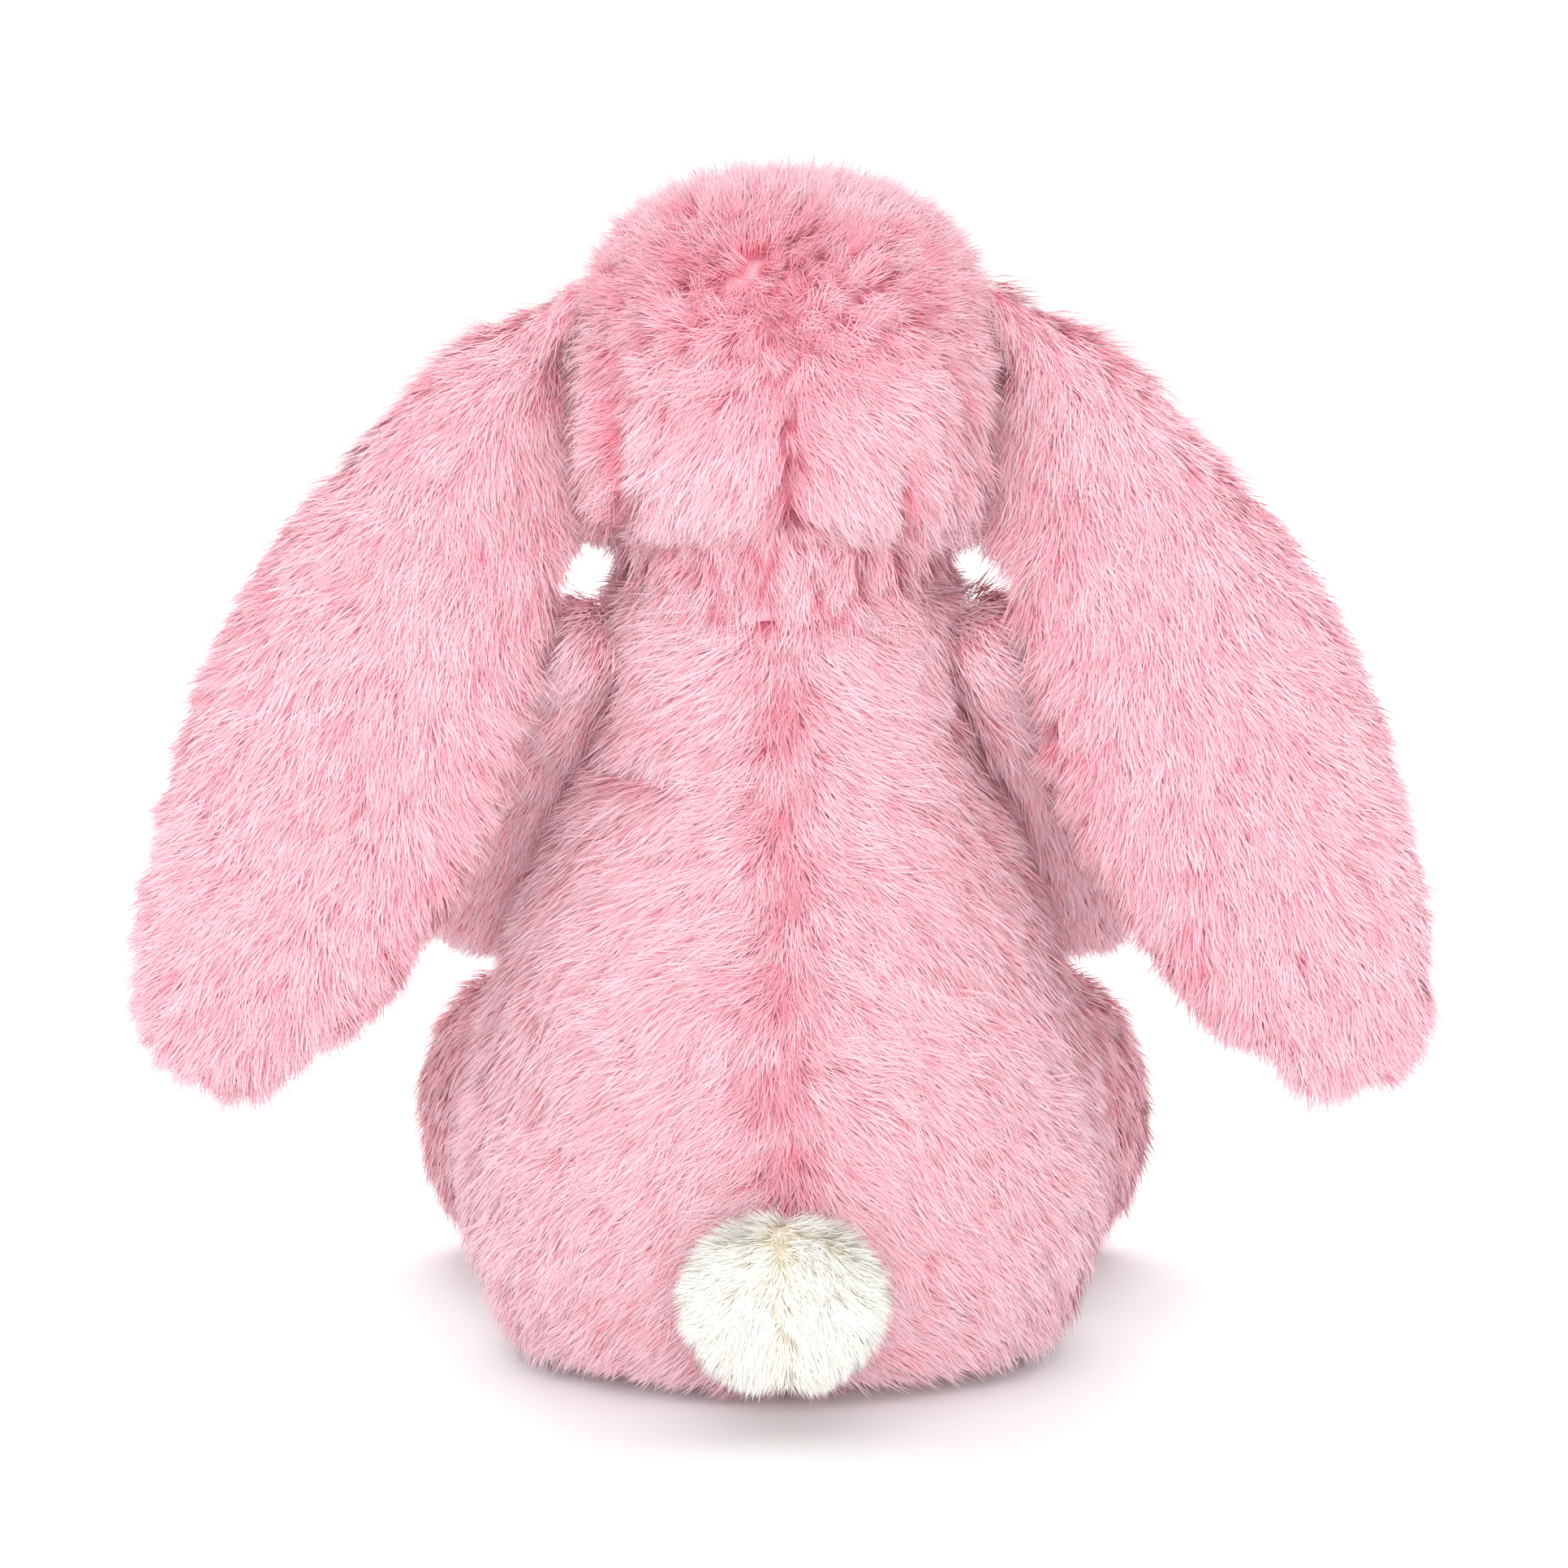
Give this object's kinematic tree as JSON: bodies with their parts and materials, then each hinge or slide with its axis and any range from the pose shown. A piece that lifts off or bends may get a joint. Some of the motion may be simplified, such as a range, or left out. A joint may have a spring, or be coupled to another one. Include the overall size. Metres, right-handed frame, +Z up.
{
  "type": "stuffed bunny rabbit",
  "caption": "Seated soft plush bunny with long hanging ears, swinging limbs, a turning and nodding head and a round white tail.",
  "frame": {"origin": "middle of the flat seat, on the surface the bunny sits on", "axes": "+Z up, -Y the way the face looks, +X the bunny's own left"},
  "size_m": [0.2328, 0.1617, 0.2125],
  "materials": {
    "pink_plush": "long soft pile, pink with deeper pink at the roots",
    "white_plush": "long soft pile, creamy white",
    "fibre_fill": "loose polyester fibre, pressed together",
    "pouch_cotton": "plain woven cotton",
    "pellets": "small loose plastic beans, shown as one cushion",
    "eye_plastic": "glossy dark brown to black",
    "washer_plastic": "plain moulded",
    "nose_thread": "satin-stitched pink thread"
  },
  "bodies": {
    "torso": {"back_panel_left": "pink_plush", "back_panel_right": "pink_plush", "tummy_panel": "pink_plush", "seat_panel": "pink_plush", "torso_stuffing": "fibre_fill", "bean_pouch": "pouch_cotton", "bean_pellets": "pellets"},
    "neck": {"neck_collar": "pink_plush"},
    "head": {"head_back_panel_left": "pink_plush", "head_back_panel_right": "pink_plush", "cheek_panel_left": "pink_plush", "cheek_panel_right": "pink_plush", "crown_panel": "pink_plush", "head_stuffing": "fibre_fill", "eye_left": "eye_plastic", "eye_right": "eye_plastic", "eye_washer_left": "washer_plastic", "eye_washer_right": "washer_plastic", "nose": "nose_thread"},
    "ear_left": {"ear_left_outer": "pink_plush", "ear_left_lining": "pink_plush"},
    "ear_right": {"ear_right_outer": "pink_plush", "ear_right_lining": "pink_plush"},
    "arm_left": {"arm_left_shell": "pink_plush", "arm_left_stuffing": "fibre_fill"},
    "arm_right": {"arm_right_shell": "pink_plush", "arm_right_stuffing": "fibre_fill"},
    "leg_left": {"leg_left_shell": "pink_plush", "foot_left_sole": "pink_plush", "leg_left_stuffing": "fibre_fill"},
    "leg_right": {"leg_right_shell": "pink_plush", "foot_right_sole": "pink_plush", "leg_right_stuffing": "fibre_fill"},
    "tail": {"tail_half_left": "white_plush", "tail_half_right": "white_plush", "tail_stuffing": "fibre_fill"}
  },
  "joints": [
    {"name": "head_turn", "type": "hinge", "parent": "torso", "child": "neck", "pos_m": [0, 0, 0.146], "axis": [0, 0, 1], "range_deg": [-9, 9], "stiffness_Nm_per_rad": 0.05},
    {"name": "head_nod", "type": "hinge", "parent": "neck", "child": "head", "pos_m": [0, 0, 0.146], "axis": [1, 0, 0], "range_deg": [-6, 8], "stiffness_Nm_per_rad": 0.08},
    {"name": "ear_left_swing", "type": "hinge", "parent": "head", "child": "ear_left", "pos_m": [0.04, 0.005, 0.1965], "axis": [0, -1, 0], "range_deg": [0, 100]},
    {"name": "ear_right_swing", "type": "hinge", "parent": "head", "child": "ear_right", "pos_m": [-0.04, 0.005, 0.1965], "axis": [0, 1, 0], "range_deg": [0, 100]},
    {"name": "arm_left_swing", "type": "hinge", "parent": "torso", "child": "arm_left", "pos_m": [0.0385, -0.003, 0.134], "axis": [-1, 0, 0], "range_deg": [0, 105]},
    {"name": "arm_right_swing", "type": "hinge", "parent": "torso", "child": "arm_right", "pos_m": [-0.0385, -0.003, 0.134], "axis": [-1, 0, 0], "range_deg": [0, 105]},
    {"name": "leg_left_swing", "type": "hinge", "parent": "torso", "child": "leg_left", "pos_m": [0.034, -0.044, 0.015], "axis": [-1, 0, 0], "range_deg": [-45, 15]},
    {"name": "leg_right_swing", "type": "hinge", "parent": "torso", "child": "leg_right", "pos_m": [-0.034, -0.044, 0.015], "axis": [-1, 0, 0], "range_deg": [-45, 15]},
    {"name": "tail_wag", "type": "hinge", "parent": "torso", "child": "tail", "pos_m": [0, 0.0448, 0.0245], "axis": [0, 0, 1], "range_deg": [-12, 12], "stiffness_Nm_per_rad": 0.01}
  ]
}
